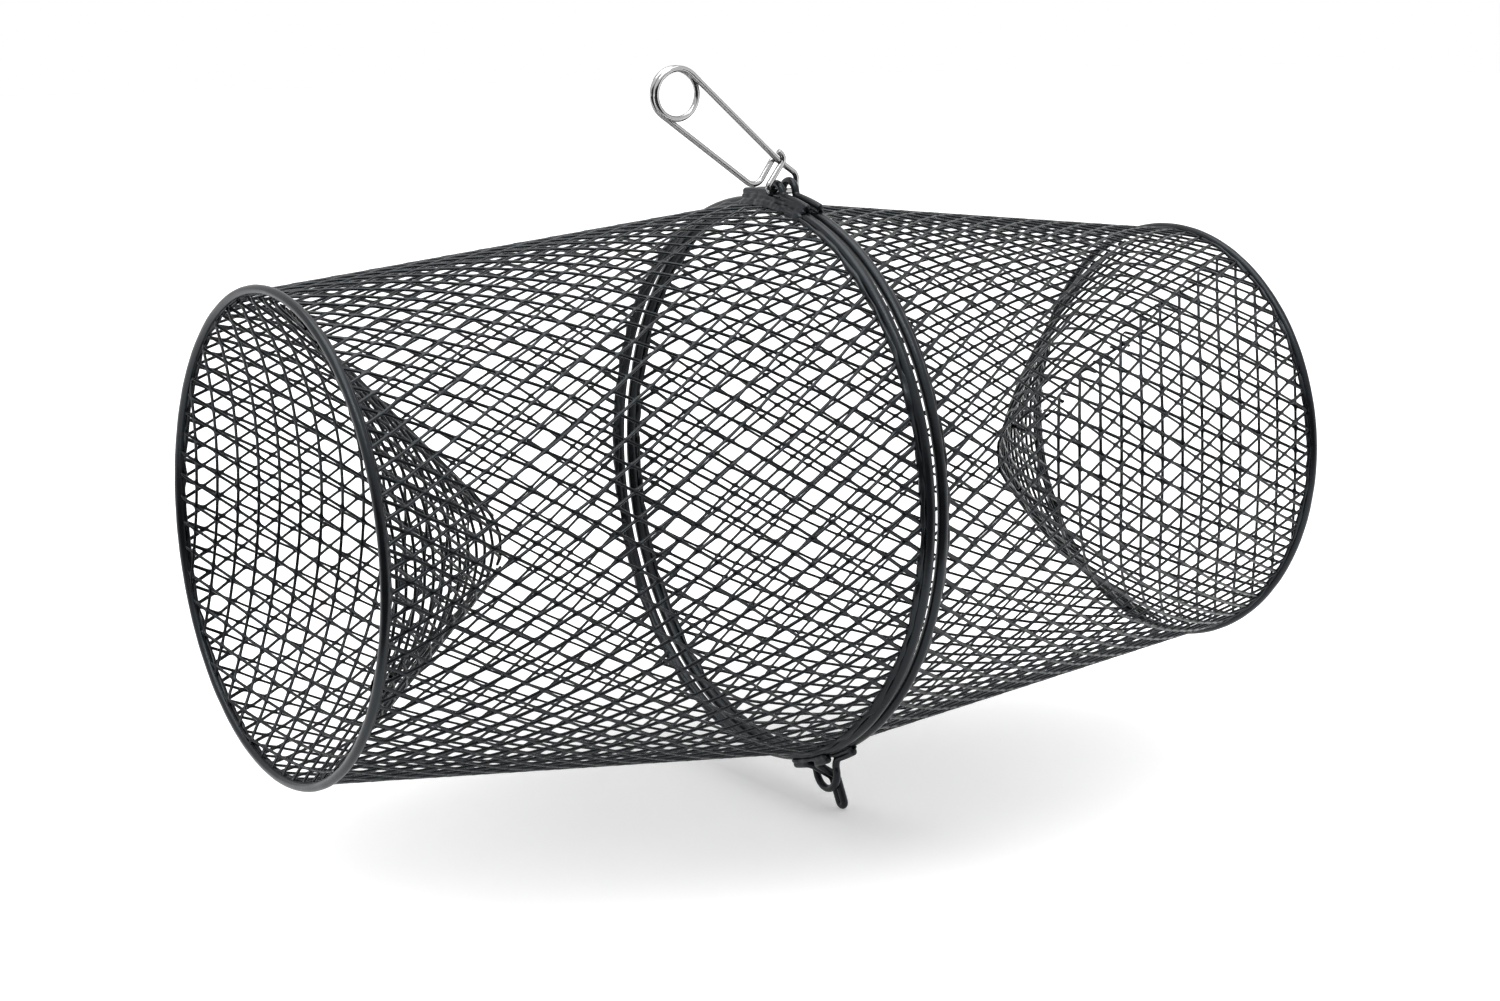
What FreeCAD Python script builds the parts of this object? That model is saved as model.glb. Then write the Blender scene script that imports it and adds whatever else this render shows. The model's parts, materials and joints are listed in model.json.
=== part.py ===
import FreeCAD, Part
import math
import os

# A two-piece torpedo minnow trap. Two tapered baskets of coated expanded-metal mesh meet rim to rim.
# Each has a round end ring and a mesh funnel that points inward. A long wire tongue hooked through a wire
# eye hinges the halves at the bottom, and a bent wire clip through two ears holds them shut on top.
# Sizes are in millimetres. The trap's axis runs along X, the left half lies at -X, +Z is up.
# The origin is under the middle of the trap, on the surface that the tongue's tip touches.

os.makedirs("parts", exist_ok=True)
V = FreeCAD.Vector

# Rings
RIM_R = 111.6            # middle rims, axis to wire centre
RIM_OD = 4.3             # coated wire of the middle rims
RIM_GAP = 1.7            # between the faces of the closed rims
END_RING_R = 90.0        # end rings, axis to wire centre
END_RING_OD = 3.6        # coated wire of the end rings
END_RING_X = 214.0       # end ring's plane from the parting plane

# Expanded-metal mesh
MESH_COLUMNS = 67        # diamonds around a wall
MESH_HALF_ROWS = 27      # half diamonds along a wall
STRAND_W = 1.5           # strand across the wall's surface
STRAND_T = 1.2           # strand through the wall
MESH_INSET = 1.0         # wall's middle surface inside the wire centres of its rings
BOND_GAP = 0.06          # between neighbouring strands at a bond
MESH_SEAT = 0.2          # between a mesh edge and its ring

# Entry funnels
FUNNEL_DEPTH = 86.0      # end ring's plane to the mouth
FUNNEL_MOUTH_R = 13.0    # middle surface of the mesh at the mouth
FUNNEL_COLUMNS = 34
FUNNEL_HALF_ROWS = 15
FUNNEL_STRAND_W = 1.1
LEFT_FUNNEL_DROP = 10.5  # mouth's centre below the trap's axis
RIGHT_FUNNEL_DROP = 4.0

# Ears, eye and tongue: coated wire bent to an omega, with feet lying on a rim
EAR_OD = 3.1
EAR_BEND_R = 1.9         # latch ear's foot to its loop, wire centre
EYE_BEND_R = 4.2         # hinge eye's foot to its loop
EAR_SEAT = 0.15          # between a foot and the rim it lies on
FOOT_HALF = 22.5         # ear's middle to the end of a foot, along the rim
TONGUE_FOOT_HALF = 12.5
LATCH_DEG = 5.0          # latch ears, from the top towards -Y
HINGE_DEG = 18.5         # hinge, from the bottom towards -Y
LATCH_LOOP_R = 4.6       # latch ear's loop, wire centre
LEFT_LOOP_H = 5.9        # latch loops' tops above the rims' outer faces, wire centre
RIGHT_LOOP_H = 6.8
EYE_LOOP_R = 7.1         # hinge eye's loop, wire centre
EYE_LOOP_H = 12.8        # loop's end below the rim's outer face, wire centre
TONGUE_PITCH = 3.3       # between the two wires of the tongue
TONGUE_BEND_R = 3.4      # foot to tongue, wire centre
HOOK_SLACK = 0.3         # between the tongue and the eye's wire
TONGUE_KNEE = 0.6        # where the tongue turns outwards, as a share of its way to the eye's wire
TONGUE_DROP = 6.0        # straight end of the tongue past the eye's wire centre
TONGUE_LEAN = 1.2        # along X over the straight end

# Clip: one spring wire, drawn in an upright plane through the line of the ears, with heights above that line
CLIP_OD = 2.3
EAR_LINE_H = 2.7         # line through the ears, above the rims' outer faces
CLIP_SPLIT = 2.6         # between the front and back wires of the clip, along Y
COIL_R = 9.5             # coil, wire centre
COIL_X = -49.0
COIL_H = 39.1
COIL_PITCH = 2.6
COIL_BREAK_DEG = 330.0   # turn of the coil that moves with the spring arm
COIL_BREAK_GAP = 0.1
TIP_X = -2.9             # spring arm's tip
TIP_H = 12.2
KEEPER_SLACK = 0.4       # between the spring arm and the keeper hook over it
KEEPER_AHEAD = 1.7       # front leg's centre past the spring arm's end
KEEPER_LENGTH = 4.4      # keeper hook over the spring arm, from its corner
KEEPER_R = 2.5
FRONT_CORNER_X = -9.7    # where the front leg meets the ear line
EAR_CORNER_R = 2.0
BOW_X = 7.3              # right-hand side of the bow, past the right ear
BOW_H = 6.4
BOW_R = 4.0
HUMP_X = -3.4            # top of the back leg
HUMP_H = 13.5
HUMP_R = 2.2
HEEL_X = -11.8           # bottom of the back leg
HEEL_H = 1.4
HEEL_R = 4.8

# Places worked out from the sizes above
RIM_X = RIM_GAP / 2 + RIM_OD / 2
RIM_FACE_R = RIM_R + RIM_OD / 2
FOOT_R = RIM_FACE_R + EAR_SEAT + EAR_OD / 2


def wire_solid(edges, diameter):
    """A round wire along joined edges, with flat ends."""
    path = Part.Wire(edges)
    first = edges[0]
    start = first.valueAt(first.FirstParameter)
    tangent = first.tangentAt(first.FirstParameter)
    section = Part.Wire(Part.makeCircle(diameter / 2, start, tangent))
    solid = path.makePipeShell([section], True, False)
    return solid if solid.Volume > 0 else solid.reversed()


def rounded_path(points, radii):
    """Straight runs through points, with an arc of the given radius at each inner point."""
    edges = []
    here = points[0]
    for before, corner, after, radius in zip(points, points[1:], points[2:], radii):
        back = (before - corner).normalize()
        on = (after - corner).normalize()
        half = back.getAngle(on) / 2
        trim = radius / math.tan(half)
        start = corner + back * trim
        end = corner + on * trim
        middle = corner + (back + on).normalize() * (radius / math.sin(half) - radius)
        edges.append(Part.LineSegment(here, start).toShape())
        edges.append(Part.Arc(start, middle, end).toShape())
        here = end
    edges.append(Part.LineSegment(here, points[-1]).toShape())
    return edges


def ring(radius, diameter, x):
    return Part.makeTorus(radius, diameter / 2, V(x, 0, 0), V(1, 0, 0))


def strand(start, end, side_dir, half_a, half_b, half_rows, odd, width, thick):
    """One zigzag strand, flat in the plane of its run and side_dir.

    half_a and half_b are half the room between its neighbours at its two ends.
    """
    run = end - start
    normal = run.cross(side_dir).normalize()
    upper = []
    lower = []
    for i in range(half_rows + 1):
        share = i / half_rows
        room = half_a + (half_b - half_a) * share
        swing = (room - (BOND_GAP + width) / 2) * (1 if (i + odd) % 2 else -1)
        middle = start + run * share - normal * (thick / 2)
        upper.append(middle + side_dir * (swing + width / 2))
        lower.append(middle + side_dir * (swing - width / 2))
    outline = upper + lower[::-1] + upper[:1]
    solid = Part.Face(Part.makePolygon(outline)).extrude(normal * thick)
    return solid if solid.Volume > 0 else solid.reversed()


def mesh_cone(centre_a, radius_a, centre_b, radius_b, columns, half_rows, width):
    """Strands along a cone between two circles across X, bonded side by side into diamonds."""
    strands = []
    count = 2 * columns
    for k in range(count):
        angle = 2 * math.pi * (k + 0.5) / count
        out = V(0, -math.cos(angle), math.sin(angle))
        side_dir = V(0, math.sin(angle), math.cos(angle))
        start = centre_a + out * radius_a
        end = centre_b + out * radius_b
        strands.append(strand(start, end, side_dir, math.pi * radius_a / count, math.pi * radius_b / count,
                              half_rows, k % 2, width, STRAND_T))
    return Part.makeCompound(strands)


def wall(side):
    near_x = RIM_X + RIM_OD / 2 + MESH_SEAT
    far_x = END_RING_X - END_RING_OD / 2 - MESH_SEAT
    slope = (END_RING_R - RIM_R) / (END_RING_X - RIM_X)
    near_r = RIM_R - MESH_INSET + slope * (near_x - RIM_X)
    far_r = RIM_R - MESH_INSET + slope * (far_x - RIM_X)
    return mesh_cone(V(side * near_x, 0, 0), near_r, V(side * far_x, 0, 0), far_r,
                     MESH_COLUMNS, MESH_HALF_ROWS, STRAND_W)


def funnel(side, drop):
    root_r = END_RING_R - END_RING_OD / 2 - MESH_SEAT - STRAND_T / 2
    root = V(side * END_RING_X, 0, 0)
    mouth = V(side * (END_RING_X - FUNNEL_DEPTH), 0, -drop)
    return mesh_cone(root, root_r, mouth, FUNNEL_MOUTH_R, FUNNEL_COLUMNS, FUNNEL_HALF_ROWS, FUNNEL_STRAND_W)


def omega(loop_r, loop_top, bend_r):
    """An ear in the YZ plane, pointing to +Z: two feet on the rim's curve and a round loop between them."""
    loop_z = loop_top - loop_r
    reach = FOOT_R + bend_r
    bend_z = (reach ** 2 - (bend_r + loop_r) ** 2 + loop_z ** 2) / (2 * loop_z)
    bend_y = math.sqrt(reach ** 2 - bend_z ** 2)
    bend = V(0, bend_y, bend_z)
    loop = V(0, 0, loop_z)
    foot_angle = FOOT_HALF / FOOT_R
    join_angle = math.atan2(bend_y, bend_z)
    foot_end = V(0, math.sin(foot_angle), math.cos(foot_angle)) * FOOT_R
    foot_mid = V(0, math.sin((foot_angle + join_angle) / 2), math.cos((foot_angle + join_angle) / 2)) * FOOT_R
    join = V(0, math.sin(join_angle), math.cos(join_angle)) * FOOT_R
    turn = bend + (loop - bend).normalize() * bend_r
    inner = bend + ((join - bend).normalize() + (turn - bend).normalize()).normalize() * bend_r

    def flip(p):
        return V(p.x, -p.y, p.z)

    return [Part.Arc(foot_end, foot_mid, join).toShape(),
            Part.Arc(join, inner, turn).toShape(),
            Part.Arc(turn, V(0, 0, loop_top), flip(turn)).toShape(),
            Part.Arc(flip(turn), flip(inner), flip(join)).toShape(),
            Part.Arc(flip(join), flip(foot_mid), flip(foot_end)).toShape()]


def to_top(shape):
    """Turns a piece made at the top round to the latch's place."""
    shape.rotate(V(0, 0, 0), V(1, 0, 0), LATCH_DEG)
    return shape


def to_bottom(shape):
    """Turns a piece made at the top round to the hinge's place."""
    shape.rotate(V(0, 0, 0), V(1, 0, 0), 180 - HINGE_DEG)
    return shape


def latch_ear(side, loop_height):
    ear = wire_solid(omega(LATCH_LOOP_R, RIM_FACE_R + loop_height, EAR_BEND_R), EAR_OD)
    ear.translate(V(side * RIM_X, 0, 0))
    return to_top(ear)


def hinge_eye():
    eye = wire_solid(omega(EYE_LOOP_R, RIM_FACE_R + EYE_LOOP_H, EYE_BEND_R), EAR_OD)
    eye.translate(V(RIM_X, 0, 0))
    return to_bottom(eye)


def hinge_tongue():
    """A hairpin whose feet lie on the left rim, hooked over the eye's wire and hanging past it."""
    pin_z = RIM_FACE_R + EYE_LOOP_H
    hook_r = EAR_OD + HOOK_SLACK
    half = TONGUE_PITCH / 2
    foot_angle = TONGUE_FOOT_HALF / FOOT_R
    root_y = half + TONGUE_BEND_R
    root_angle = math.asin(root_y / FOOT_R)
    root_mid = (foot_angle + root_angle) / 2
    root_z = FOOT_R * math.cos(root_angle)
    root = V(-RIM_X, half, root_z)
    hook = V(RIM_X + hook_r, half, pin_z)
    knee = V(hook.x, half, root_z + (pin_z - root_z) * TONGUE_KNEE)
    tip_x = hook.x + TONGUE_LEAN
    tip_z = pin_z + TONGUE_DROP
    leg_start = V(-RIM_X, root_y, root_z)
    points = [leg_start, root, knee, V(tip_x, half, tip_z)]
    legs = rounded_path(points, [TONGUE_BEND_R * 0.9, hook_r])
    down = (V(tip_x, 0, tip_z) - V(knee.x, 0, knee.z)).normalize()
    tip = Part.Arc(V(tip_x, half, tip_z), V(tip_x, 0, tip_z) + down * half, V(tip_x, -half, tip_z)).toShape()

    def flipped(edge):
        return edge.mirror(V(0, 0, 0), V(0, 1, 0))

    foot = Part.Arc(V(-RIM_X, math.sin(foot_angle) * FOOT_R, math.cos(foot_angle) * FOOT_R),
                    V(-RIM_X, math.sin(root_mid) * FOOT_R, math.cos(root_mid) * FOOT_R),
                    leg_start).toShape()
    one_side = [foot] + legs
    tongue = wire_solid(one_side + [tip] + [flipped(e) for e in reversed(one_side)], EAR_OD)
    return to_bottom(tongue)


# Clip, in its own plane: x along X, h above the ear line, y from the plane's middle
LATCH_RAD = math.radians(LATCH_DEG)
EAR_LINE_R = RIM_FACE_R + EAR_LINE_H
EAR_LINE_Y = -EAR_LINE_R * math.sin(LATCH_RAD)
EAR_LINE_Z = EAR_LINE_R * math.cos(LATCH_RAD)
FRONT_Y = -CLIP_SPLIT / 2
BACK_Y = CLIP_SPLIT / 2


def clip_point(x, h, y):
    return V(x, EAR_LINE_Y + y, EAR_LINE_Z + h)


def tangent_angle(x, h, turn):
    """Where a line from (x, h) touches the coil's wire circle, as an angle at the coil's centre."""
    dx = x - COIL_X
    dh = h - COIL_H
    return math.atan2(dh, dx) + turn * math.acos(COIL_R / math.hypot(dx, dh))


ARM_ANGLE = tangent_angle(TIP_X, TIP_H, 1)
HEEL_ANGLE = tangent_angle(HEEL_X, HEEL_H, -1)
COIL_TURN = 2 * math.pi + (HEEL_ANGLE - ARM_ANGLE) % (2 * math.pi)
COIL_BACK_Y = COIL_PITCH * COIL_TURN / (4 * math.pi)


def coil_point(turn):
    """A point of the coil's centre line, turn radians on from where the lower arm joins it."""
    angle = HEEL_ANGLE - turn
    y = COIL_BACK_Y - COIL_PITCH * turn / (2 * math.pi)
    return clip_point(COIL_X + COIL_R * math.cos(angle), COIL_H + COIL_R * math.sin(angle), y)


def coil_edge(start, end):
    count = max(4, int((end - start) / math.radians(15)) + 1)
    curve = Part.BSplineCurve()
    curve.interpolate([coil_point(start + (end - start) * i / count) for i in range(count + 1)])
    return curve.toShape()


def clip_wire():
    arm_x = TIP_X - clip_arm_end().x
    arm_h = TIP_H - (clip_arm_end().z - EAR_LINE_Z)
    along = V(arm_x, 0, arm_h).normalize()
    over = V(-along.z, 0, along.x)
    tip = clip_point(TIP_X, TIP_H, FRONT_Y)
    corner = tip + along * KEEPER_AHEAD + over * (CLIP_OD + KEEPER_SLACK)
    points = [corner - along * KEEPER_LENGTH,
              corner,
              clip_point(FRONT_CORNER_X, 0, FRONT_Y),
              clip_point(BOW_X, 0, BACK_Y),
              clip_point(BOW_X, BOW_H, BACK_Y),
              clip_point(HUMP_X, HUMP_H, BACK_Y),
              clip_point(HEEL_X, HEEL_H, BACK_Y),
              coil_point(0)]
    radii = [KEEPER_R, EAR_CORNER_R, EAR_CORNER_R, BOW_R, HUMP_R, HEEL_R]
    fixed_turn = COIL_TURN - math.radians(COIL_BREAK_DEG) - COIL_BREAK_GAP / COIL_R
    return wire_solid(rounded_path(points, radii) + [coil_edge(0, fixed_turn)], CLIP_OD)


def clip_arm_end():
    return coil_point(COIL_TURN)


def clip_spring_arm():
    start = COIL_TURN - math.radians(COIL_BREAK_DEG)
    arm = Part.LineSegment(clip_arm_end(), clip_point(TIP_X, TIP_H, FRONT_Y)).toShape()
    return wire_solid([coil_edge(start, COIL_TURN), arm], CLIP_OD)


# The tongue's tip sets the height of the surface that the trap stands on
tongue = hinge_tongue()
FLOOR_Z = tongue.optimalBoundingBox(False).ZMin

pieces = {
    "left_end_ring": ring(END_RING_R, END_RING_OD, -END_RING_X),
    "left_middle_rim": ring(RIM_R, RIM_OD, -RIM_X),
    "left_wall_mesh": wall(-1),
    "left_funnel_mesh": funnel(-1, LEFT_FUNNEL_DROP),
    "left_latch_ear": latch_ear(-1, LEFT_LOOP_H),
    "left_hinge_tongue": tongue,
    "right_end_ring": ring(END_RING_R, END_RING_OD, END_RING_X),
    "right_middle_rim": ring(RIM_R, RIM_OD, RIM_X),
    "right_wall_mesh": wall(1),
    "right_funnel_mesh": funnel(1, RIGHT_FUNNEL_DROP),
    "right_latch_ear": latch_ear(1, RIGHT_LOOP_H),
    "right_hinge_eye": hinge_eye(),
    "clip_wire": clip_wire(),
    "clip_spring_arm": clip_spring_arm(),
}

for name, shape in pieces.items():
    shape.translate(V(0, 0, -FLOOR_Z))
    shape.exportStep("parts/" + name + ".step")
    box = shape.BoundBox
    print(name, shape.isValid(), len(shape.Solids), "volume", round(shape.Volume, 1),
          "x", round(box.XMin, 2), round(box.XMax, 2), "y", round(box.YMin, 2), round(box.YMax, 2),
          "z", round(box.ZMin, 2), round(box.ZMax, 2))

hinge_r = RIM_FACE_R + EYE_LOOP_H
hinge_rad = math.radians(HINGE_DEG)
print("axis height", round(-FLOOR_Z, 4))
print("hinge", round(RIM_X, 4), round(-hinge_r * math.sin(hinge_rad), 4), round(-hinge_r * math.cos(hinge_rad) - FLOOR_Z, 4))
print("ear line", round(EAR_LINE_Y, 4), round(EAR_LINE_Z - FLOOR_Z, 4))
print("coil", COIL_X, round(EAR_LINE_Y, 4), round(EAR_LINE_Z + COIL_H - FLOOR_Z, 4), "turn", round(math.degrees(COIL_TURN), 1))
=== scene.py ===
# %% [markdown]
# # A wire minnow trap
# Two tapered baskets of expanded-metal mesh meet rim to rim. Everything but the clip is dipped in black
# vinyl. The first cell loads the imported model, which fixes every place and size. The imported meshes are
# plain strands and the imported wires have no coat, so each piece is rebuilt finely in the place of its
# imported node.

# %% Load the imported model
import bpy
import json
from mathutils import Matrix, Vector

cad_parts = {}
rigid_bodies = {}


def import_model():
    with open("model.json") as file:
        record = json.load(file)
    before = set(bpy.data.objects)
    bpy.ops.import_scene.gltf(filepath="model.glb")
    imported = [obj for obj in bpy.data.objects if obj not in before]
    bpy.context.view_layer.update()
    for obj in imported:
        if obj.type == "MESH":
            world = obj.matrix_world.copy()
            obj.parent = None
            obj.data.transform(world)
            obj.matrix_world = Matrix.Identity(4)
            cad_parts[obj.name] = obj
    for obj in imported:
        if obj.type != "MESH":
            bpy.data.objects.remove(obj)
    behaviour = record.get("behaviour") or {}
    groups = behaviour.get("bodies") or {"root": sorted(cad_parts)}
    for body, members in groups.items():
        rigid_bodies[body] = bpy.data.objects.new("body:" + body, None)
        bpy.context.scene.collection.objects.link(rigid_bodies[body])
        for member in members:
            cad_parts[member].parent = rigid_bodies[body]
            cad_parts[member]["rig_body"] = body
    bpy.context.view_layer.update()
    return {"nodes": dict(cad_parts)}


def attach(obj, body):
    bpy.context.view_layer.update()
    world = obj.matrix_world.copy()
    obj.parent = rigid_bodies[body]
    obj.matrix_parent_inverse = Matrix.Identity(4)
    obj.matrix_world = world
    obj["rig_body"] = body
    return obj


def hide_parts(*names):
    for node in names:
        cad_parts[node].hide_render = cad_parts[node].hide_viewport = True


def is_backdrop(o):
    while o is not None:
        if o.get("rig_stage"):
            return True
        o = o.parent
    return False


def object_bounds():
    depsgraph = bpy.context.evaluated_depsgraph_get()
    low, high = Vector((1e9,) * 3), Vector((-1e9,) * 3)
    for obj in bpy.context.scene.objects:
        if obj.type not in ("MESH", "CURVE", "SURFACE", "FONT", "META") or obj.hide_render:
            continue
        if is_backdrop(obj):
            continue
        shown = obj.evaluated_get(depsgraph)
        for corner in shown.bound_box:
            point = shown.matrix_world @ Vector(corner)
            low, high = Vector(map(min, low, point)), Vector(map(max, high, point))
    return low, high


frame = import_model()

# %% Modules and the unit
import json
import math
import random
import bmesh
import bpy
from mathutils import Matrix, Vector, noise
MM = 0.001
scene = bpy.context.scene

# %% [markdown]
# ## Camera
# The picture was taken from the left, a little above the trap. The place and the lens come from fitting the
# ellipses of the four rings, so each ring lands on its own outline. The lens is long, which keeps the far
# end large.

# %% Camera
lens = bpy.data.cameras.new("viewpoint")
lens.sensor_fit = "HORIZONTAL"
lens.sensor_width = 36.0
lens.lens = 65.36
lens.clip_start = 0.05
lens.clip_end = 20.0
camera = bpy.data.objects.new("viewpoint", lens)
camera.location = (-0.6010, -0.8949, 0.3320)
camera.rotation_euler = (math.radians(90 - 11.13), 0, math.radians(-33.5))
scene.collection.objects.link(camera)
scene.camera = camera
scene.view_settings.view_transform = "Standard"
print("camera at", tuple(camera.location))

# %% [markdown]
# ## Sizes shared by the pieces
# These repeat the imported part's own sizes, in millimetres, with heights from the trap's axis. Each piece is
# then moved up by the axis height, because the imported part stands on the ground.

# %% Sizes in millimetres
AXIS_HEIGHT = 128.89
RIM_X = 3.0
RIM_R = 111.6
RIM_OD = 4.3
END_RING_X = 214.0
END_RING_R = 90.0
END_RING_OD = 3.6
COLUMNS = 67
HALF_ROWS = 27
LATCH_DEG = 5.0
HINGE_DEG = 18.5
WIRE_OD = 3.1
FOOT_GAP = 0.15
RIM_FACE_R = RIM_R + RIM_OD / 2
FOOT_R = RIM_FACE_R + FOOT_GAP + WIRE_OD / 2
print("rims of radius", RIM_R, "and end rings of radius", END_RING_R, "mm")


def solid_of(name, bm):
    """Turns a closed bmesh into an object, with its faces pointing outwards."""
    bmesh.ops.recalc_face_normals(bm, faces=bm.faces)
    mesh = bpy.data.meshes.new(name)
    bm.to_mesh(mesh)
    bm.free()
    solid = bpy.data.objects.new(name, mesh)
    scene.collection.objects.link(solid)
    return solid


def in_place(name, bm):
    """Turns a bmesh made in millimetres about the trap's axis into an object on the ground, in metres."""
    bmesh.ops.translate(bm, verts=bm.verts, vec=(0, 0, AXIS_HEIGHT))
    bmesh.ops.scale(bm, verts=bm.verts, vec=(MM, MM, MM))
    return solid_of(name, bm)


def stand_for(piece, node):
    """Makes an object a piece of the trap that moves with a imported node's body and is shown instead of it."""
    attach(piece, frame["nodes"][node]["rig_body"])
    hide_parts(node)
    return piece


def keep(name, bm, node):
    """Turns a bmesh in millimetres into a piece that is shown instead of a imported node."""
    return stand_for(in_place(name, bm), node)


def settle(piece, *modifiers):
    """Adds the modifiers, then keeps their result as the piece's own mesh."""
    for kind, settings in modifiers:
        modifier = piece.modifiers.new(kind.lower(), kind)
        for key, value in settings.items():
            setattr(modifier, key, value)
    graph = bpy.context.evaluated_depsgraph_get()
    mesh = bpy.data.meshes.new_from_object(piece.evaluated_get(graph))
    old = piece.data
    piece.modifiers.clear()
    piece.data = mesh
    mesh.name = piece.name
    bpy.data.meshes.remove(old)
    mesh.polygons.foreach_set("use_smooth", [True] * len(mesh.polygons))
    print(piece.name, len(mesh.polygons), "faces")


# %% [markdown]
# ## Wall mesh
# Expanded metal is a sheet that is slit and pulled open, so it is one net with strands that lean a little.
# A grid of diamonds is laid on the cone, and each diamond is inset to leave the strands. The middle of each
# strand is then pushed out on one copy of the net and in on another, and the copies are joined at the
# openings' edges. That gives every strand four sides, which one round of subdivision makes round, as the
# vinyl coat does. Each wall is a dense mesh, so it is cut into a front and a back piece, which meet flush.

# %% Net helpers
CORNER_SHARE = 0.23
JOIN_WITHIN = 0.0005


def on_cone(x, radius, turn):
    """A point at a distance along the axis, at an angle that starts nearest the viewer and goes up."""
    return Vector((x, -math.cos(turn) * radius, math.sin(turn) * radius))


def net_face(bm, corners, made):
    """A cell of the net, with a point near both ends of each side to keep its corners crisp."""
    outline = []
    for a, b in zip(corners, corners[1:] + corners[:1]):
        outline.append(a)
        for start, end in ((a, b), (b, a)):
            if (start, end) not in made:
                made[start, end] = bm.verts.new(start.co.lerp(end.co, CORNER_SHARE))
            outline.append(made[start, end])
    return bm.faces.new(outline)


def open_cells(bm, half_strand, shape_opening):
    """Insets every cell, shapes its opening and takes the middle out. Gives the openings' points."""
    bm.normal_update()
    cells = bm.faces[:]
    bmesh.ops.inset_individual(bm, faces=cells, thickness=half_strand, use_even_offset=True)
    edge_points = set()
    for cell in cells:
        shape_opening(cell)
        edge_points.update(cell.verts)
    bmesh.ops.delete(bm, geom=cells, context="FACES_ONLY")
    return edge_points


def thicken(bm, edge_points, half_thick, through):
    """Pushes the strands' middles both ways along through(point), and joins the two skins at the openings."""
    ridge = [v for v in bm.verts if v not in edge_points]
    copied = bmesh.ops.duplicate(bm, geom=bm.verts[:] + bm.edges[:] + bm.faces[:])["vert_map"]
    bmesh.ops.reverse_faces(bm, faces=[f for f in bm.faces if f.verts[0] in copied])
    for v in ridge:
        push = through(v.co) * half_thick
        copied[v].co -= push
        v.co += push
    bmesh.ops.remove_doubles(bm, verts=bm.verts[:], dist=JOIN_WITHIN)


def half_of(whole, name, way):
    """The front or back half of an object, cut along the upright plane through the axis and closed."""
    bm = bmesh.new()
    bm.from_mesh(whole.data)
    everything = bm.verts[:] + bm.edges[:] + bm.faces[:]
    bmesh.ops.bisect_plane(bm, geom=everything, plane_co=(0, 0, 0), plane_no=(0, way, 0), clear_outer=True)
    closed = bmesh.ops.holes_fill(bm, edges=[e for e in bm.edges if e.is_boundary], sides=0)
    for face in closed["faces"]:
        face.smooth = False
        for edge in face.edges:
            edge.smooth = False
    half = solid_of(name, bm)
    print(name, len(half.data.polygons), "faces")
    return half


# %% Wall mesh of each half
HALF_STRAND = 0.86
HALF_SHEET = 0.88
NEAR_X, NEAR_R = 5.35, 110.36
FAR_X, FAR_R = 212.0, 89.2
RIM_TUCK_X = RIM_X + 1.4
RING_TUCK_X = END_RING_X - 0.9
SLIP_ALONG = 0.25
SLIP_ROUND = 0.0025
THICK_BAND = 10.0
THICK_SHARE = 0.3
THICK_OPENING_R = 2.6
STRAND_HALF_LONG = 7.0
STRAND_HALF_SHORT = 4.5


def wall_rows(bm, side):
    """The corners of the diamonds, row by row from the rim. The first and last rows tuck under the rings."""
    dice = random.Random(7 + side)
    rows = []
    for i in range(HALF_ROWS + 1):
        share = i / HALF_ROWS
        x = NEAR_X + (FAR_X - NEAR_X) * share
        radius = NEAR_R + (FAR_R - NEAR_R) * share
        x = RIM_TUCK_X if i == 0 else RING_TUCK_X if i == HALF_ROWS else x
        slip = 0.0 if i in (0, HALF_ROWS) else SLIP_ALONG
        row = []
        for c in range(COLUMNS):
            turn = math.pi * (2 * c + i % 2) / COLUMNS + dice.uniform(-SLIP_ROUND, SLIP_ROUND)
            row.append(bm.verts.new(on_cone(side * (x + dice.uniform(-slip, slip)), radius, turn)))
        rows.append(row)
    return rows


def wall_net(name, side, lean_along, lean_up):
    """One half's wall, as a front and a back piece. The strands lean outwards by the given amounts."""
    bm = bmesh.new()
    rows = wall_rows(bm, side)
    made = {}
    for i, row in enumerate(rows):
        for c in range(COLUMNS):
            place = (c + i % 2) % COLUMNS
            corners = [row[c], rows[i + 1][place] if i < HALF_ROWS else None,
                       row[(c + 1) % COLUMNS], rows[i - 1][place] if i > 0 else None]
            net_face(bm, [v for v in corners if v], made)

    def shape_opening(cell):
        middle = cell.calc_center_median()
        away = Vector((0, middle.y, middle.z)).normalized()
        up = Vector((0, middle.z, -middle.y)).normalized()
        gap = min(abs(middle.x) - NEAR_X, (FAR_X - abs(middle.x)) * 1.3)
        close = THICK_SHARE * max(0.0, 1 - gap / THICK_BAND)
        for v in cell.verts:
            arm = (v.co - middle).lerp((v.co - middle).normalized() * THICK_OPENING_R, close)
            lean = lean_along * arm.x / STRAND_HALF_LONG + lean_up * arm.dot(up) / STRAND_HALF_SHORT
            v.co = middle + arm * (1 - close) + away * lean

    edge_points = open_cells(bm, HALF_STRAND, shape_opening)
    thicken(bm, edge_points, HALF_SHEET, lambda p: Vector((0, p.y, p.z)).normalized())
    whole = in_place(name, bm)
    settle(whole, ("SUBSURF", dict(levels=1, render_levels=1)))
    halves = [half_of(whole, f"{name}_front", 1), half_of(whole, f"{name}_back", -1)]
    bpy.data.objects.remove(whole)
    return [stand_for(half, f"{name}_mesh") for half in halves]


left_wall = wall_net("left_wall", -1, -0.3, 0.25)
right_wall = wall_net("right_wall", 1, 0.3, 0.25)

# %% [markdown]
# ## Entry funnels
# Each funnel is cut flat from the same mesh and rolled into a cone, so its diamonds stay one size and the
# lines of strands run across the cone instead of down it. The net is made flat, cut to the rolled-out
# cone's sector with a little overlap, rolled, and cut off square at the root and the mouth. Cutting leaves
# raw strand ends there.

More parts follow.
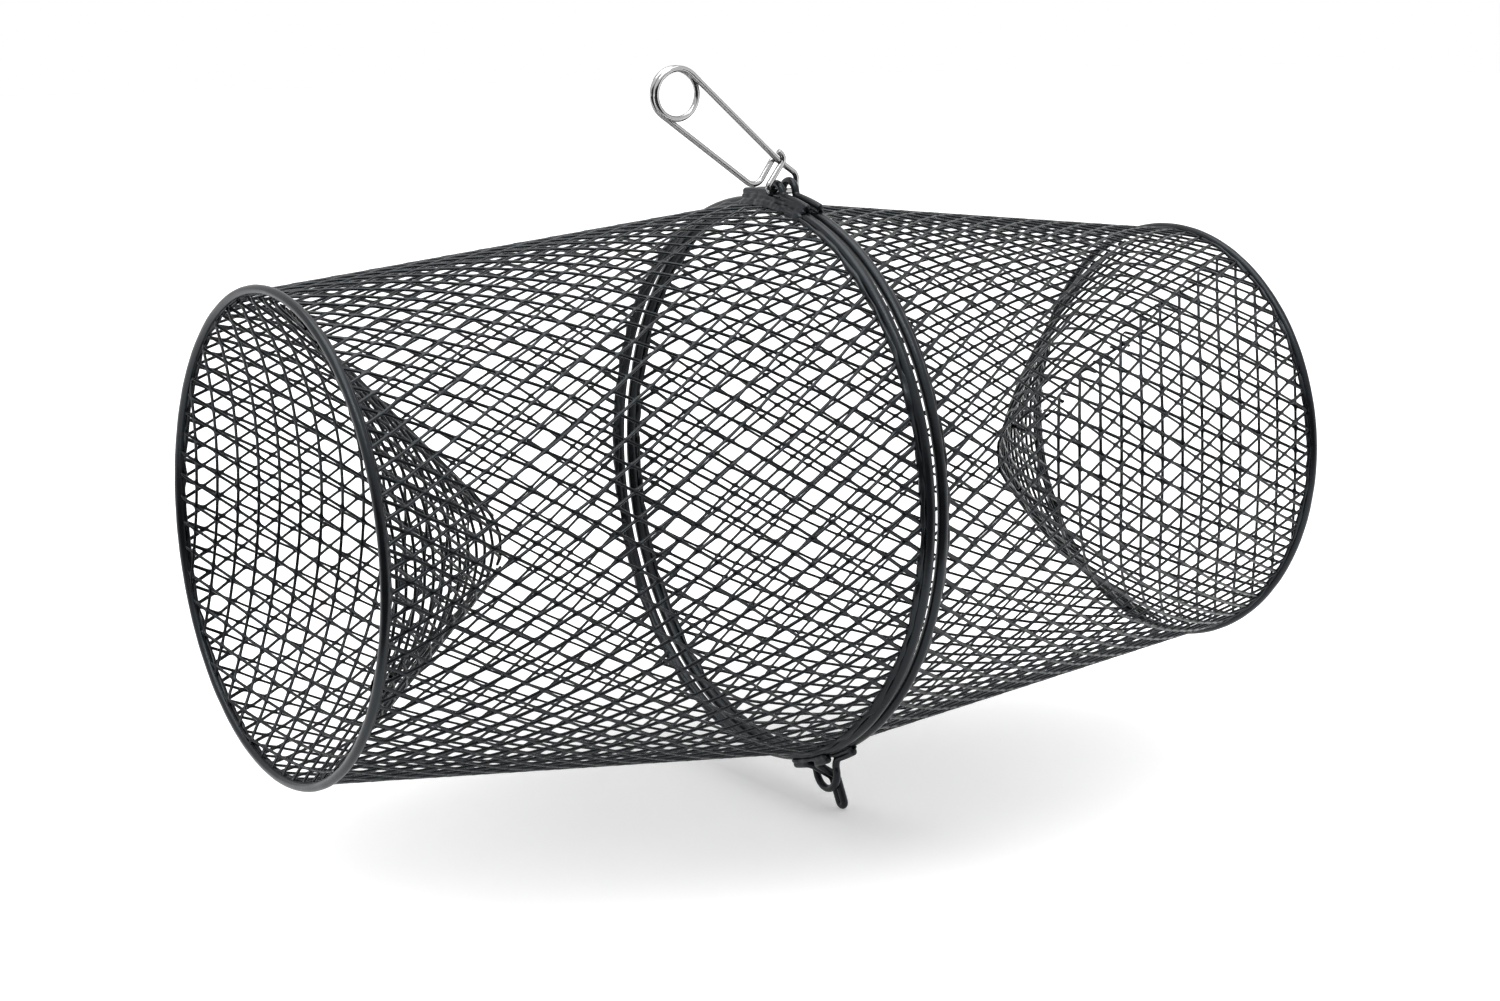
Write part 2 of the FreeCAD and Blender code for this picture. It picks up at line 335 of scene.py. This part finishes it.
# %% Funnel nets
FUNNEL_DEPTH = 86.0
ROOT_R = 87.4
MOUTH_R = 13.0
LONG_WAY = 15.2
SHORT_WAY = 9.8
FUNNEL_HALF_STRAND = 0.93
FUNNEL_HALF_SHEET = 0.95
SLOPE = math.hypot(ROOT_R - MOUTH_R, FUNNEL_DEPTH)
SINE = (ROOT_R - MOUTH_R) / SLOPE
ROOT_S = ROOT_R / SINE
MOUTH_S = MOUTH_R / SINE
HALF_SECTOR = math.pi * SINE
LAP = 0.04
LAP_LIFT = 0.8
SPARE = 10.0
SPARE_TURN = 0.5
ROOT_CUT_X = END_RING_X + 0.3
MOUTH_CUT_X = END_RING_X - FUNNEL_DEPTH + 0.9


def flat_turn(place):
    """The angle of a flat point from the middle of the sector."""
    return math.atan2(place.x, place.y)


def flat_net(bm, lay_deg):
    """Diamonds over the sector and a little past it, laid at an angle across it."""
    lay = Matrix.Rotation(math.radians(lay_deg), 2)
    points = {}
    made = {}

    def flat(a, b):
        return lay @ Vector((a * LONG_WAY / 2, b * SHORT_WAY / 2))

    def point(a, b):
        if (a, b) not in points:
            points[a, b] = bm.verts.new((*flat(a, b), 0))
        return points[a, b]

    span = int(2 * ROOT_S / SHORT_WAY) + 4
    for a in range(-span, span + 1):
        for b in range(-span, span + 1):
            centre = flat(a, b)
            inside = MOUTH_S - SPARE < centre.length < ROOT_S + SPARE
            if (a + b) % 2 == 0 and inside and abs(flat_turn(centre)) < HALF_SECTOR + LAP + SPARE_TURN:
                net_face(bm, [point(a - 1, b), point(a, b - 1), point(a + 1, b), point(a, b + 1)], made)


def cut_sector(bm):
    """Cuts the flat net along both straight edges of the sector, a lap beyond it."""
    limit = HALF_SECTOR + LAP
    for hand in (-1, 1):
        normal = (hand * math.cos(hand * limit), -hand * math.sin(hand * limit), 0)
        everything = bm.verts[:] + bm.edges[:] + bm.faces[:]
        bmesh.ops.bisect_plane(bm, geom=everything, plane_co=(0, 0, 0), plane_no=normal)
    past = [f for f in bm.faces if abs(flat_turn(f.calc_center_median())) > limit]
    bmesh.ops.delete(bm, geom=past, context="FACES")


def roll_up(bm, side, drop, middle_turn, bulge):
    """Rolls the sector into a cone whose mouth sits lower by the drop and whose middle bulges outwards."""
    for v in bm.verts:
        away = math.hypot(v.co.x, v.co.y)
        share = (ROOT_S - away) / (ROOT_S - MOUTH_S)
        lift = v.co.z + LAP_LIFT * flat_turn(v.co) / HALF_SECTOR
        turn = flat_turn(v.co) / SINE + middle_turn
        swell = bulge * math.sin(math.pi * min(1, max(0, share)))
        x = END_RING_X - FUNNEL_DEPTH * share - lift * SINE
        radius = away * SINE + lift * math.sqrt(1 - SINE * SINE) + swell
        v.co = on_cone(side * x, radius, turn) - Vector((0, 0, drop * share))


def funnel_net(name, side, drop, middle_turn, lay_deg, bulge):
    """One entry funnel, cut from flat net, rolled up and trimmed square at its root and its mouth."""
    bm = bmesh.new()
    flat_net(bm, lay_deg)
    edge_points = open_cells(bm, FUNNEL_HALF_STRAND, lambda cell: None)
    thicken(bm, edge_points, FUNNEL_HALF_SHEET, lambda p: Vector((0, 0, 1)))
    cut_sector(bm)
    roll_up(bm, side, drop, middle_turn, bulge)
    for x, outer in ((ROOT_CUT_X, 1), (MOUTH_CUT_X, -1)):
        everything = bm.verts[:] + bm.edges[:] + bm.faces[:]
        bmesh.ops.bisect_plane(bm, geom=everything, plane_co=(side * x, 0, 0), plane_no=(side * outer, 0, 0),
                               clear_outer=True)
    bmesh.ops.holes_fill(bm, edges=[e for e in bm.edges if e.is_boundary], sides=10)
    piece = keep(name, bm, f"{name}_mesh")
    settle(piece, ("SUBSURF", dict(levels=1, render_levels=1)))
    return piece


left_funnel = funnel_net("left_funnel", -1, 10.5, math.radians(150), -48.8, 0.0)
right_funnel = funnel_net("right_funnel", 1, 4.0, math.radians(245), -109.5, 5.0)

# %% [markdown]
# ## Rings and rims
# The rings are coated rod. Dipping leaves the coat slightly thick and thin, so the section of each ring
# swells and shrinks along its length. A second, uneven bead lies in the corner between the ring and the
# wall. It is the vinyl that webbed over the mesh's cut ends.

# %% Rings and rims
BEAD_SIDES = 16
BEAD_STEPS = 360
LUMP_SCALE = 13
RIM_WEB = (3.4, 2.3, 1.0)
END_WEB = (2.6, -1.6, 0.8)


def bead(bm, radius, diameter, x, seed, swell):
    """A closed bead of vinyl round the axis. Its section never grows past the given diameter."""
    loops = []
    for i in range(BEAD_STEPS):
        turn = 2 * math.pi * i / BEAD_STEPS
        middle = on_cone(x, radius, turn)
        away = on_cone(0, 1, turn)
        loop = []
        for j in range(BEAD_SIDES):
            part = 2 * math.pi * j / BEAD_SIDES
            spot = Vector((math.cos(turn) * LUMP_SCALE + seed, math.sin(turn) * LUMP_SCALE, part * 0.4))
            lump = noise.noise(spot)
            offset = away * math.cos(part) + Vector((math.sin(part), 0, 0))
            loop.append(bm.verts.new(middle + offset * diameter / 2 * min(1 + swell * (lump - 0.3), 1.0)))
        loops.append(loop)
    for a, b in zip(loops, loops[1:] + loops[:1]):
        for j in range(BEAD_SIDES):
            bm.faces.new([a[j], a[(j + 1) % BEAD_SIDES], b[(j + 1) % BEAD_SIDES], b[j]])


def coated_ring(name, node, x, radius, diameter, web, seed):
    """A ring and its web, whose thickness, distance past the ring and drop towards the axis are given."""
    thickness, past, drop = web
    bm = bmesh.new()
    bead(bm, radius, diameter, x, seed, 0.05)
    bead(bm, radius - drop, thickness, x + math.copysign(1, x) * past, seed + 3, 0.8)
    piece = keep(name, bm, node)
    settle(piece)
    return piece


left_rim = coated_ring("left_rim", "left_middle_rim", -RIM_X, RIM_R, RIM_OD, RIM_WEB, 1.0)
right_rim = coated_ring("right_rim", "right_middle_rim", RIM_X, RIM_R, RIM_OD, RIM_WEB, 5.0)
left_ring = coated_ring("left_ring", "left_end_ring", -END_RING_X, END_RING_R, END_RING_OD, END_WEB, 11.0)
right_ring = coated_ring("right_ring", "right_end_ring", END_RING_X, END_RING_R, END_RING_OD, END_WEB, 17.0)

# %% [markdown]
# ## Wires
# The ears, the eye, the tongue and the clip are bent wire. Each path is made of points along arcs and
# straight runs, and a round section is swept along it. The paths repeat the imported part's bends.

# %% Paths and sweeps
SWEEP_STEP = 0.5


def arc(centre, radius, start, end, x):
    """Points across the trap's axis, with angles from straight up towards the far side."""
    count = max(2, round(abs(end - start) * radius / SWEEP_STEP))
    turns = [start + (end - start) * i / count for i in range(count + 1)]
    return [Vector((x, centre[0] + radius * math.sin(t), centre[1] + radius * math.cos(t))) for t in turns]


def rounded_path(points, radii):
    """Points along straight runs, with an arc of the given radius at each inner corner."""
    path = [points[0]]
    for before, corner, after, radius in zip(points, points[1:], points[2:], radii):
        back = (before - corner).normalized()
        on = (after - corner).normalized()
        half = back.angle(on) / 2
        centre = corner + (back + on).normalized() * (radius / math.sin(half))
        start = corner + back * (radius / math.tan(half)) - centre
        end = corner + on * (radius / math.tan(half)) - centre
        count = max(4, round((math.pi - 2 * half) * radius / 0.4))
        path += [centre + start.slerp(end, i / count) * radius for i in range(count + 1)]
    return path + [points[-1]]


def even_path(path, step):
    """The same path with points at even steps, and closer ones near the ends."""
    lengths = [0.0]
    for a, b in zip(path, path[1:]):
        lengths.append(lengths[-1] + (b - a).length)
    total = lengths[-1]
    count = max(2, round(total / step))
    marks = {0.0, 0.02, 0.06, 0.15, 0.3}
    marks |= {total - mark for mark in marks} | {total * i / count for i in range(1, count)}
    marks = sorted(marks)
    even = []
    i = 0
    for mark in marks:
        while i < len(path) - 2 and lengths[i + 1] < mark:
            i += 1
        share = (mark - lengths[i]) / max(lengths[i + 1] - lengths[i], 1e-9)
        even.append((path[i].lerp(path[i + 1], min(1.0, share)), min(mark, total - mark)))
    return even


def sweep(bm, path, diameter, round_start=0.4, round_end=0.4, sides=16, swell=0.0):
    """Sweeps a round section along a path. Its ends are rounded over by the given lengths."""
    even = even_path(path, SWEEP_STEP)
    side = None
    loops = []
    for i, (middle, depth) in enumerate(even):
        ahead = even[min(i + 1, len(even) - 1)][0] - even[max(i - 1, 0)][0]
        ahead.normalize()
        side = (side or ahead.orthogonal()) - ahead * (side or ahead.orthogonal()).dot(ahead)
        side.normalize()
        over = ahead.cross(side)
        soft = round_start if i < len(even) / 2 else round_end
        radius = diameter / 2
        if depth < soft:
            radius *= 1 - min(1.0, soft / radius) * (1 - math.sqrt(1 - (1 - depth / soft) ** 2))
        radius *= 1 + swell * noise.noise(middle * 0.35)
        turns = [2 * math.pi * j / sides for j in range(sides)]
        spokes = [side * math.cos(t) + over * math.sin(t) for t in turns]
        loops.append([bm.verts.new(middle + spoke * radius) for spoke in spokes])
    for a, b in zip(loops, loops[1:]):
        for j in range(sides):
            bm.faces.new([a[j], a[(j + 1) % sides], b[(j + 1) % sides], b[j]])
    bm.faces.new(loops[0][::-1])
    bm.faces.new(loops[-1])


# %% [markdown]
# ## Ears, eye and tongue
# They were welded to the rims before the trap was dipped, so the vinyl runs over both. Each is swept
# together with fillers along the rim, and a voxel remesh melts the pieces into one soft skin.

# %% Fitting paths
def omega(loop_r, loop_top, bend_r, x):
    """An ear that points straight up: two feet along the rim, and a round loop between them."""
    loop_z = loop_top - loop_r
    reach = FOOT_R + bend_r
    bend_z = (reach ** 2 - (bend_r + loop_r) ** 2 + loop_z ** 2) / (2 * loop_z)
    bend_y = math.sqrt(reach ** 2 - bend_z ** 2)
    join = math.atan2(bend_y, bend_z)
    neck = math.atan2(bend_y, bend_z - loop_z)
    half = arc((0, 0), FOOT_R, FOOT_HALF / FOOT_R, join, x)
    half += arc((bend_y, bend_z), bend_r, math.pi + join, math.pi + neck, x)[1:]
    half += arc((0, loop_z), loop_r, neck, 0, x)[1:]
    return half + [Vector((p.x, -p.y, p.z)) for p in half[-2::-1]]


def tongue_path():
    """A hairpin: two feet along the rim, two close legs that lean through the eye, and a round tip."""
    half = TONGUE_PITCH / 2
    root_y = half + TONGUE_BEND_R
    root_z = FOOT_R * math.cos(math.asin(root_y / FOOT_R))
    hook_r = WIRE_OD + 0.3
    hook_x = RIM_X + hook_r
    knee_z = root_z + (EYE_TOP - root_z) * KNEE_SHARE
    tip = Vector((hook_x + TIP_LEAN, half, EYE_TOP + TIP_PAST_EYE))
    path = arc((0, 0), FOOT_R, TONGUE_FOOT_HALF / FOOT_R, math.asin(root_y / FOOT_R), -RIM_X)[:-1]
    knee = Vector((hook_x, half, knee_z))
    corners = [Vector((-RIM_X, root_y, root_z)), Vector((-RIM_X, half, root_z)), knee, tip]
    path += rounded_path(corners, [TONGUE_BEND_R * 0.9, hook_r])
    down = (tip - knee).normalized()
    for i in range(1, 7):
        turn = math.pi / 2 * i / 6
        path.append(Vector((tip.x, half * math.cos(turn), tip.z)) + down * half * math.sin(turn))
    return path + [Vector((p.x, -p.y, p.z)) for p in path[-2::-1]]


# %% Dipped fittings
EYE_TOP = RIM_FACE_R + 12.8
FOOT_HALF = 22.5
TONGUE_FOOT_HALF = 12.5
TONGUE_PITCH = 3.3
TONGUE_BEND_R = 3.4
KNEE_SHARE = 0.6
TIP_LEAN = 1.2
TIP_PAST_EYE = 6.0
LATCH_LOOP_R = 4.6
LATCH_BEND_R = 1.9
LEFT_LOOP_TOP = RIM_FACE_R + 5.9
RIGHT_LOOP_TOP = RIM_FACE_R + 6.8
EYE_LOOP_R = 7.1
EYE_BEND_R = 4.2
FILLERS = ((RIM_X - 1.3, RIM_FACE_R, 1.9), (RIM_X + 1.3, RIM_FACE_R, 1.9))
THICK_SKIRT = ((RIM_X + 1.9, RIM_R - 0.2, 3.2), (RIM_X + 2.8, RIM_R - 1.4, 2.8))


def dipped(name, node, path, side, reach, turn_deg, drips=()):
    """Melts a swept wire into fillers that lie between its feet and the rim, and drips down the wall side."""
    bm = bmesh.new()
    sweep(bm, path, WIRE_OD, 1.2, 1.2)
    span = reach / FOOT_R
    for x, radius, diameter in FILLERS + drips:
        sweep(bm, arc((0, 0), radius, -span, span, side * x), diameter, diameter, diameter, 10, 0.35)
    place = Matrix.Rotation(math.radians(turn_deg), 3, "X")
    bmesh.ops.rotate(bm, verts=bm.verts, cent=(0, 0, 0), matrix=place)
    piece = keep(name, bm, node)
    melt = ("REMESH", dict(mode="VOXEL", voxel_size=0.3 * MM))
    relax = ("SMOOTH", dict(factor=0.5, iterations=6))
    settle(piece, melt, relax)
    return piece


left_loop = omega(LATCH_LOOP_R, LEFT_LOOP_TOP, LATCH_BEND_R, -RIM_X)
left_ear = dipped("left_ear", "left_latch_ear", left_loop, -1, FOOT_HALF, LATCH_DEG, THICK_SKIRT)
right_loop = omega(LATCH_LOOP_R, RIGHT_LOOP_TOP, LATCH_BEND_R, RIM_X)
right_ear = dipped("right_ear", "right_latch_ear", right_loop, 1, FOOT_HALF, LATCH_DEG)
eye_loop = omega(EYE_LOOP_R, EYE_TOP, EYE_BEND_R, RIM_X)
hinge_eye = dipped("hinge_eye", "right_hinge_eye", eye_loop, 1, FOOT_HALF, 180 - HINGE_DEG)
hairpin = tongue_path()
hinge_tongue = dipped("hinge_tongue", "left_hinge_tongue", hairpin, -1, TONGUE_FOOT_HALF, 180 - HINGE_DEG)

# %% [markdown]
# ## Clip
# One bent spring wire, in an upright plane through the ears. Its coil is a helix with one and a half turns.
# The spring arm and the coil's last turn move apart from the rest, so they are a piece of their own.

# %% Clip paths
CLIP_OD = 2.3
COIL_R = 9.5
COIL_X = -49.0
COIL_H = 39.1
COIL_PITCH = 2.6
EAR_LINE_UP = 2.7
LATCH_TURN = math.radians(LATCH_DEG)
EAR_LINE = (RIM_FACE_R + EAR_LINE_UP) * Vector((0, -math.sin(LATCH_TURN), math.cos(LATCH_TURN)))
FRONT = -1.3
BACK = 1.3
TIP = (-2.9, 12.2)
HEEL = (-11.8, 1.4)
HUMP = (-3.4, 13.5)
FRONT_CORNER_X = -9.7
BOW_X = 7.3
BOW_H = 6.4
KEEPER_SLACK = 0.4
KEEPER_AHEAD = 1.7
KEEPER_LENGTH = 4.4
BEND_RADII = [2.5, 2.0, 2.0, 4.0, 2.2, 4.8]


def clip_point(x, h, y):
    """A point of the clip, measured from the line through both ears."""
    return EAR_LINE + Vector((x, y, h))


def touch_angle(point, hand):
    """Where a line from a point touches the coil, as an angle at the coil's middle."""
    dx, dh = point[0] - COIL_X, point[1] - COIL_H
    return math.atan2(dh, dx) + hand * math.acos(COIL_R / math.hypot(dx, dh))


HEEL_TURN = touch_angle(HEEL, -1)
COIL_TURN = 2 * math.pi + (HEEL_TURN - touch_angle(TIP, 1)) % (2 * math.pi)
BREAK_TURN = COIL_TURN - math.radians(330)


def coil_point(turn):
    """A point of the coil, at an angle from where the lower leg joins it."""
    y = COIL_PITCH * (COIL_TURN / 2 - turn) / (2 * math.pi)
    x = COIL_X + COIL_R * math.cos(HEEL_TURN - turn)
    h = COIL_H + COIL_R * math.sin(HEEL_TURN - turn)
    return clip_point(x, h, y)


def coil(start, end):
    count = round((end - start) / math.radians(3))
    return [coil_point(start + (end - start) * i / count) for i in range(count + 1)]


# %% Clip pieces
tip = clip_point(*TIP, FRONT)
along = tip - coil_point(COIL_TURN)
along = Vector((along.x, 0, along.z)).normalized()
over = Vector((-along.z, 0, along.x))
corner = tip + along * KEEPER_AHEAD + over * (CLIP_OD + KEEPER_SLACK)
corners = [corner - along * KEEPER_LENGTH, corner, clip_point(FRONT_CORNER_X, 0, FRONT)]
corners += [clip_point(x, h, BACK) for x, h in ((BOW_X, 0), (BOW_X, BOW_H), HUMP, HEEL)]
corners.append(coil_point(0))
bm = bmesh.new()
sweep(bm, rounded_path(corners, BEND_RADII)[:-1] + coil(0, BREAK_TURN), CLIP_OD, 0.35, 0.02, 20)
clip_body = keep("clip_body", bm, "clip_wire")
settle(clip_body)
bm = bmesh.new()
sweep(bm, coil(BREAK_TURN, COIL_TURN) + [tip], CLIP_OD, 0.02, 0.35, 20)
clip_arm = keep("clip_arm", bm, "clip_spring_arm")
settle(clip_arm)

# %% [markdown]
# ## Finishes
# Black dipped vinyl has a soft gloss and a faint orange-peel skin. The clip is bright drawn wire.

# %% Vinyl skin, a shared node group
def skin_group():
    group = bpy.data.node_groups.new("vinyl_skin", "ShaderNodeTree")
    sockets = group.interface
    sockets.new_socket("Grain", in_out="INPUT", socket_type="NodeSocketFloat").default_value = 900.0
    sockets.new_socket("Depth", in_out="INPUT", socket_type="NodeSocketFloat").default_value = 0.25
    sockets.new_socket("Patches", in_out="OUTPUT", socket_type="NodeSocketFloat")
    sockets.new_socket("Normal", in_out="OUTPUT", socket_type="NodeSocketVector")
    nodes, links = group.nodes, group.links
    given = nodes.new("NodeGroupInput")
    result = nodes.new("NodeGroupOutput")
    place = nodes.new("ShaderNodeTexCoord")
    fine = nodes.new("ShaderNodeTexNoise")
    broad = nodes.new("ShaderNodeTexNoise")
    bump = nodes.new("ShaderNodeBump")
    broad.inputs["Scale"].default_value = 120.0
    broad.inputs["Detail"].default_value = 3.0
    fine.inputs["Detail"].default_value = 2.0
    bump.inputs["Distance"].default_value = 0.0002
    links.new(place.outputs["Object"], fine.inputs["Vector"])
    links.new(place.outputs["Object"], broad.inputs["Vector"])
    links.new(given.outputs["Grain"], fine.inputs["Scale"])
    links.new(given.outputs["Depth"], bump.inputs["Strength"])
    links.new(fine.outputs["Fac"], bump.inputs["Height"])
    links.new(broad.outputs["Fac"], result.inputs["Patches"])
    links.new(bump.outputs["Normal"], result.inputs["Normal"])
    return group


VINYL_SKIN = skin_group()


def vinyl(name, dark, light, rough_low, rough_high, grain):
    """Black vinyl that varies a little in tone and gloss from place to place."""
    material = bpy.data.materials.new(name)
    material.use_nodes = True
    nodes, links = material.node_tree.nodes, material.node_tree.links
    shader = nodes["Principled BSDF"]
    skin = nodes.new("ShaderNodeGroup")
    skin.node_tree = VINYL_SKIN
    skin.inputs["Grain"].default_value = grain
    tone = nodes.new("ShaderNodeMix")
    tone.data_type = "RGBA"
    tone.inputs[6].default_value = (*dark, 1)
    tone.inputs[7].default_value = (*light, 1)
    rough = nodes.new("ShaderNodeMapRange")
    rough.inputs["To Min"].default_value = rough_low
    rough.inputs["To Max"].default_value = rough_high
    links.new(skin.outputs["Patches"], tone.inputs[0])
    links.new(skin.outputs["Patches"], rough.inputs["Value"])
    links.new(tone.outputs[2], shader.inputs["Base Color"])
    links.new(rough.outputs["Result"], shader.inputs["Roughness"])
    links.new(skin.outputs["Normal"], shader.inputs["Normal"])
    shader.inputs["IOR"].default_value = 1.4
    shader.inputs["Specular Tint"].default_value = (0.84, 0.93, 1.0, 1)
    return material


vinyl_on_mesh = vinyl("vinyl_on_mesh", (0.003, 0.0033, 0.004), (0.006, 0.0065, 0.008), 0.2, 0.33, 900)
vinyl_on_rod = vinyl("vinyl_on_rod", (0.004, 0.0045, 0.0055), (0.008, 0.009, 0.0115), 0.24, 0.36, 700)

# %% Bright wire
def bright_wire():
    material = bpy.data.materials.new("bright_wire")
    material.use_nodes = True
    nodes, links = material.node_tree.nodes, material.node_tree.links
    shader = nodes["Principled BSDF"]
    place = nodes.new("ShaderNodeTexCoord")
    streaks = nodes.new("ShaderNodeTexNoise")
    streaks.inputs["Scale"].default_value = 60.0
    tone = nodes.new("ShaderNodeMapRange")
    tone.inputs["To Min"].default_value = 0.42
    tone.inputs["To Max"].default_value = 0.5
    links.new(place.outputs["Object"], streaks.inputs["Vector"])
    links.new(streaks.outputs["Fac"], tone.inputs["Value"])
    links.new(tone.outputs["Result"], shader.inputs["Base Color"])
    shader.inputs["Metallic"].default_value = 1.0
    shader.inputs["Specular Tint"].default_value = (0.12, 0.12, 0.12, 1)
    shader.inputs["Roughness"].default_value = 0.14
    return material


steel = bright_wire()


def finish_with(material, *pieces):
    for piece in pieces:
        piece.data.materials.clear()
        piece.data.materials.append(material)


finish_with(vinyl_on_mesh, *left_wall, *right_wall, left_funnel, right_funnel)
finish_with(vinyl_on_rod, left_rim, right_rim, left_ring, right_ring)
finish_with(vinyl_on_rod, left_ear, right_ear, hinge_eye, hinge_tongue)
finish_with(steel, clip_body, clip_arm)
print("finishes:", vinyl_on_mesh.name, vinyl_on_rod.name, steel.name)

# %% [markdown]
# ## Ground and light
# The picture is a product shot on white with a soft shadow. The ground glows towards the camera and in
# reflections, a little under the trap, where its shadow shows, and to full white away from it. The world is
# white to the camera and to reflections, and a softer grey to everything else.

# %% Ground
GROUND_REACH = 6.0
SHADOW_FROM = 0.06
SHADOW_TO = 0.34
SHADOW_GLOW = 0.33


def background_rays(nodes, links):
    """A mask that is 1 for the camera, glossy and transmission rays, which show the background, else 0."""
    path = nodes.new("ShaderNodeLightPath")
    mask = path.outputs["Is Camera Ray"]
    for kind in ("Is Glossy Ray", "Is Transmission Ray"):
        either = nodes.new("ShaderNodeMath")
        either.operation = "MAXIMUM"
        links.new(mask, either.inputs[0])
        links.new(path.outputs[kind], either.inputs[1])
        mask = either.outputs[0]
    return mask


def white_ground():
    material = bpy.data.materials.new("white_ground")
    material.use_nodes = True
    nodes, links = material.node_tree.nodes, material.node_tree.links
    shader = nodes["Principled BSDF"]
    shader.inputs["Base Color"].default_value = (0.8, 0.8, 0.8, 1)
    shader.inputs["Roughness"].default_value = 0.9
    glow = nodes.new("ShaderNodeEmission")
    both = nodes.new("ShaderNodeAddShader")
    level = nodes.new("ShaderNodeMath")
    level.operation = "MULTIPLY"
    place = nodes.new("ShaderNodeTexCoord")
    reach = nodes.new("ShaderNodeVectorMath")
    reach.operation = "LENGTH"
    fade = nodes.new("ShaderNodeMapRange")
    fade.interpolation_type = "SMOOTHSTEP"
    fade.inputs["From Min"].default_value = SHADOW_FROM
    fade.inputs["From Max"].default_value = SHADOW_TO
    fade.inputs["To Min"].default_value = SHADOW_GLOW
    fade.inputs["To Max"].default_value = 1.0
    links.new(place.outputs["Object"], reach.inputs[0])
    links.new(reach.outputs["Value"], fade.inputs["Value"])
    links.new(fade.outputs["Result"], level.inputs[1])
    links.new(background_rays(nodes, links), level.inputs[0])
    links.new(level.outputs[0], glow.inputs["Strength"])
    links.new(shader.outputs[0], both.inputs[0])
    links.new(glow.outputs[0], both.inputs[1])
    links.new(both.outputs[0], nodes["Material Output"].inputs["Surface"])
    return material


bm = bmesh.new()
bmesh.ops.create_grid(bm, x_segments=1, y_segments=1, size=GROUND_REACH)
mesh = bpy.data.meshes.new("ground")
bm.to_mesh(mesh)
bm.free()
ground = bpy.data.objects.new("ground", mesh)
ground.data.materials.append(white_ground())
scene.collection.objects.link(ground)
ground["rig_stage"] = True
print("ground", 2 * GROUND_REACH, "m wide, in shade out to", SHADOW_TO, "m")

# %% World and lamps
LAMP_AIM = Vector((0, 0, 0.1))
world = bpy.data.worlds.new("studio")
world.use_nodes = True
scene.world = world
nodes, links = world.node_tree.nodes, world.node_tree.links
plain = nodes["Background"]
plain.inputs["Color"].default_value = (1, 1, 1, 1)
plain.inputs["Strength"].default_value = 0.55
white = nodes.new("ShaderNodeBackground")
white.inputs["Color"].default_value = (1, 1, 1, 1)
white.inputs["Strength"].default_value = 1.0
pick = nodes.new("ShaderNodeMixShader")
links.new(background_rays(nodes, links), pick.inputs[0])
links.new(plain.outputs[0], pick.inputs[1])
links.new(white.outputs[0], pick.inputs[2])
links.new(pick.outputs[0], nodes["World Output"].inputs["Surface"])


def soft_lamp(name, place, width, depth, watts):
    """An area lamp that points at the trap."""
    data = bpy.data.lights.new(name, "AREA")
    data.shape = "RECTANGLE"
    data.size = width
    data.size_y = depth
    data.energy = watts
    lamp = bpy.data.objects.new(name, data)
    lamp.location = place
    lamp.rotation_euler = (LAMP_AIM - Vector(place)).to_track_quat("-Z", "Y").to_euler()
    scene.collection.objects.link(lamp)
    return lamp


overhead = soft_lamp("overhead", (-0.1, 0.1, 1.6), 1.2, 1.2, 14)
strip = soft_lamp("strip", (-0.45, -0.55, 1.3), 1.4, 0.16, 7)
strip.visible_diffuse = False
print("lamps:", overhead.name, strip.name)

# %% [markdown]
# Two dark cards stay out of the picture, one behind the camera and one on the ground in front of it. Only
# reflections see them. Without them, the sides that face the camera reflect nothing but white, and the
# vinyl looks grey. The strip lamp above is likewise for reflections, and draws the light lines on the
# vinyl.

# %% Dark cards
CARD_NEAR = 0.3
CARD_FAR = 1.7
CARD_LIFT = Vector((0, 0, 0.001))
CARD_HEIGHT = Vector((0, 0, 0.8))
LOW_HALF_WIDTH = 1.5
TALL_HALF_WIDTH = 2.0


def dark_card(name, corners):
    """A matt black card that only reflections see."""
    data = bpy.data.meshes.new(name)
    data.from_pydata(corners, [], [(0, 1, 2, 3)])
    card = bpy.data.objects.new(name, data)
    material = bpy.data.materials.new(name)
    material.use_nodes = True
    shader = material.node_tree.nodes["Principled BSDF"]
    shader.inputs["Base Color"].default_value = (0.02, 0.02, 0.02, 1)
    shader.inputs["Roughness"].default_value = 1.0
    data.materials.append(material)
    card.visible_camera = False
    card.visible_diffuse = False
    card.visible_shadow = False
    scene.collection.objects.link(card)
    card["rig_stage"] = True


to_camera = Vector((camera.location.x, camera.location.y, 0)).normalized()
across = Vector((-to_camera.y, to_camera.x, 0))
near = to_camera * CARD_NEAR + CARD_LIFT
far = to_camera * CARD_FAR + CARD_LIFT
high = far + CARD_HEIGHT
wide = across * LOW_HALF_WIDTH
dark_card("card_in_front", [near - wide, near + wide, far + wide, far - wide])
wide = across * TALL_HALF_WIDTH
dark_card("card_behind_camera", [far - wide, far + wide, high + wide, high - wide])
print("dark cards from", CARD_NEAR, "to", CARD_FAR, "m towards the camera")

# %% Sizes for the record, and the end
low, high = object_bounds()
print("visual box, mm:", [round(c * 1000, 1) for c in (*low, *high)])
